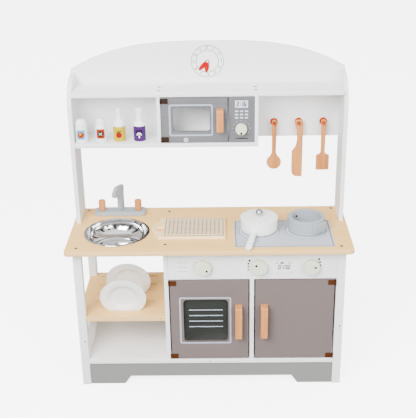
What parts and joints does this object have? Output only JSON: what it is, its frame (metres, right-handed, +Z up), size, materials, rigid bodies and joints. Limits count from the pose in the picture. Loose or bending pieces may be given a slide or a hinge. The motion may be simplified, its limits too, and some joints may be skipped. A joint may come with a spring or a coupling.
{
  "type": "toy kitchen",
  "caption": "Wooden toy kitchen with an oven, a cupboard, a sink, a hob with pots, an open dish rack, a microwave box and a utensil rail under an arched back panel.",
  "frame": {"origin": "on the floor, under the middle of the worktop", "axes": "+X to the right, +Y towards the back panel, +Z up"},
  "size_m": [0.8, 0.308, 0.969],
  "materials": {
    "painted_white": "satin white paint on board",
    "birch": "pale birch, satin lacquer",
    "beech": "fine beech, satin lacquer",
    "door_grey": "warm grey film on board, satin",
    "microwave_grey": "brushed grey film on board, satin",
    "kick_grey": "satin grey paint on board",
    "tap_grey": "satin light grey paint on wood",
    "knob_cream": "satin cream paint on wood",
    "polished_steel": "polished",
    "bronze": "dull bronze plating",
    "clear_pane": "clear acrylic",
    "orange_plastic": "gloss",
    "red_plastic": "gloss",
    "white_plastic": "gloss"
  },
  "bodies": {
    "cabinet": {"front_post_left": "painted_white", "rear_post_left": "painted_white", "right_side_frame": "painted_white", "side_panel_left": "painted_white", "bottom_board": "painted_white", "divider_left": "painted_white", "divider_right": "painted_white", "control_fascia": "painted_white", "kick_board": "kick_grey", "lower_back_panel": "painted_white", "dish_shelf": "birch", "worktop": "birch", "upper_side_left": "painted_white", "upper_side_right": "painted_white", "upper_back_panel": "painted_white", "upper_top_board": "painted_white", "upper_bottom_board": "painted_white", "upper_partition_left": "painted_white", "upper_partition_right": "painted_white", "microwave_fascia": "microwave_grey", "hook_left": "orange_plastic", "hook_middle": "orange_plastic", "hook_right": "orange_plastic", "tap_base": "tap_grey"},
    "oven_door": {"oven_door": "door_grey", "oven_window": "clear_pane", "oven_handle": "beech", "oven_hinge_upper": "bronze", "oven_hinge_lower": "bronze"},
    "cupboard_door": {"cupboard_door": "door_grey", "cupboard_handle": "beech", "cupboard_hinge_upper": "bronze", "cupboard_hinge_lower": "bronze"},
    "microwave_door": {"microwave_door": "microwave_grey", "microwave_handle": "beech", "microwave_hinge_upper": "bronze", "microwave_hinge_lower": "bronze"},
    "knob_left": {"knob_left": "knob_cream"},
    "knob_middle": {"knob_middle": "knob_cream"},
    "knob_right": {"knob_right": "knob_cream"},
    "microwave_knob": {"microwave_knob": "knob_cream"},
    "hour_hand": {"hour_hand": "red_plastic"},
    "minute_hand": {"minute_hand": "red_plastic"},
    "spoon": {"spoon": "beech"},
    "kitchen_knife": {"kitchen_knife": "beech"},
    "spatula": {"spatula": "beech"},
    "shaker_domed": {"shaker_domed": "white_plastic"},
    "shaker_capped": {"shaker_capped": "white_plastic"},
    "sauce_bottle": {"sauce_bottle": "white_plastic"},
    "vinegar_bottle": {"vinegar_bottle": "white_plastic"},
    "plate_front": {"plate_front": "white_plastic"},
    "plate_rear": {"plate_rear": "white_plastic"},
    "sink_bowl": {"sink_bowl": "polished_steel"},
    "tap_spout": {"tap_spout": "tap_grey"},
    "tap_peg_left": {"tap_peg_left": "beech"},
    "tap_peg_right": {"tap_peg_right": "beech"},
    "cutting_board": {"cutting_board": "birch"},
    "saucepan": {"saucepan": "white_plastic"},
    "saucepan_lid": {"saucepan_lid": "white_plastic"},
    "casserole": {"casserole": "tap_grey"}
  },
  "joints": [
    {"name": "oven_door_hinge", "type": "hinge", "parent": "cabinet", "child": "oven_door", "pos_m": [-0.1153, -0.1213, 0.2195], "axis": [0, 0, -1], "range_deg": [0, 110]},
    {"name": "cupboard_door_hinge", "type": "hinge", "parent": "cabinet", "child": "cupboard_door", "pos_m": [0.3558, -0.1213, 0.2195], "axis": [0, 0, 1], "range_deg": [0, 110]},
    {"name": "microwave_door_hinge", "type": "hinge", "parent": "cabinet", "child": "microwave_door", "pos_m": [-0.1308, 0.0387, 0.77], "axis": [0, 0, -1], "range_deg": [0, 110]},
    {"name": "knob_left_turn", "type": "hinge", "parent": "cabinet", "child": "knob_left", "pos_m": [-0.017, -0.119, 0.3925], "axis": [0, -1, 0], "continuous": true},
    {"name": "knob_middle_turn", "type": "hinge", "parent": "cabinet", "child": "knob_middle", "pos_m": [0.14, -0.119, 0.3925], "axis": [0, -1, 0], "continuous": true},
    {"name": "knob_right_turn", "type": "hinge", "parent": "cabinet", "child": "knob_right", "pos_m": [0.286, -0.119, 0.3925], "axis": [0, -1, 0], "continuous": true},
    {"name": "microwave_knob_turn", "type": "hinge", "parent": "cabinet", "child": "microwave_knob", "pos_m": [0.0935, 0.041, 0.7445], "axis": [0, -1, 0], "continuous": true},
    {"name": "hour_hand_turn", "type": "hinge", "parent": "cabinet", "child": "hour_hand", "pos_m": [0, 0.145, 0.911], "axis": [0, -1, 0], "continuous": true},
    {"name": "minute_hand_turn", "type": "hinge", "parent": "cabinet", "child": "minute_hand", "pos_m": [0, 0.145, 0.911], "axis": [0, -1, 0], "continuous": true},
    {"name": "tap_spout_swivel", "type": "hinge", "parent": "cabinet", "child": "tap_spout", "pos_m": [-0.266, 0.112, 0.4683], "axis": [0, 0, 1], "range_deg": [-45, 90]},
    {"name": "tap_peg_left_turn", "type": "hinge", "parent": "cabinet", "child": "tap_peg_left", "pos_m": [-0.3225, 0.111, 0.4683], "axis": [0, 0, 1], "continuous": true},
    {"name": "tap_peg_right_turn", "type": "hinge", "parent": "cabinet", "child": "tap_peg_right", "pos_m": [-0.2145, 0.111, 0.4683], "axis": [0, 0, 1], "continuous": true},
    {"name": "spoon_unhook", "type": "slide", "parent": "cabinet", "child": "spoon", "axis": [0, -1, 0], "range_m": [0, 0.1]},
    {"name": "kitchen_knife_unhook", "type": "slide", "parent": "cabinet", "child": "kitchen_knife", "axis": [0, -1, 0], "range_m": [0, 0.1]},
    {"name": "spatula_unhook", "type": "slide", "parent": "cabinet", "child": "spatula", "axis": [0, -1, 0], "range_m": [0, 0.1]},
    {"name": "shaker_domed_take_out", "type": "slide", "parent": "cabinet", "child": "shaker_domed", "axis": [0, -1, 0], "range_m": [0, 0.11]},
    {"name": "shaker_capped_take_out", "type": "slide", "parent": "cabinet", "child": "shaker_capped", "axis": [0, -1, 0], "range_m": [0, 0.11]},
    {"name": "sauce_bottle_take_out", "type": "slide", "parent": "cabinet", "child": "sauce_bottle", "axis": [0, -1, 0], "range_m": [0, 0.11]},
    {"name": "vinegar_bottle_take_out", "type": "slide", "parent": "cabinet", "child": "vinegar_bottle", "axis": [0, -1, 0], "range_m": [0, 0.11]},
    {"name": "plate_front_lift", "type": "slide", "parent": "cabinet", "child": "plate_front", "axis": [0, -0.225, 0.9744], "range_m": [0, 0.04]},
    {"name": "plate_rear_lift", "type": "slide", "parent": "cabinet", "child": "plate_rear", "axis": [0, -0.225, 0.9744], "range_m": [0, 0.04]},
    {"name": "sink_bowl_lift", "type": "slide", "parent": "cabinet", "child": "sink_bowl", "axis": [0, 0, 1], "range_m": [0, 0.05]},
    {"name": "cutting_board_lift", "type": "slide", "parent": "cabinet", "child": "cutting_board", "axis": [0, 0, 1], "range_m": [0, 0.1]},
    {"name": "saucepan_lift", "type": "slide", "parent": "cabinet", "child": "saucepan", "axis": [0, 0, 1], "range_m": [0, 0.1]},
    {"name": "saucepan_lid_lift", "type": "slide", "parent": "saucepan", "child": "saucepan_lid", "axis": [0, 0, 1], "range_m": [0, 0.06]},
    {"name": "casserole_lift", "type": "slide", "parent": "cabinet", "child": "casserole", "axis": [0, 0, 1], "range_m": [0, 0.06]}
  ]
}
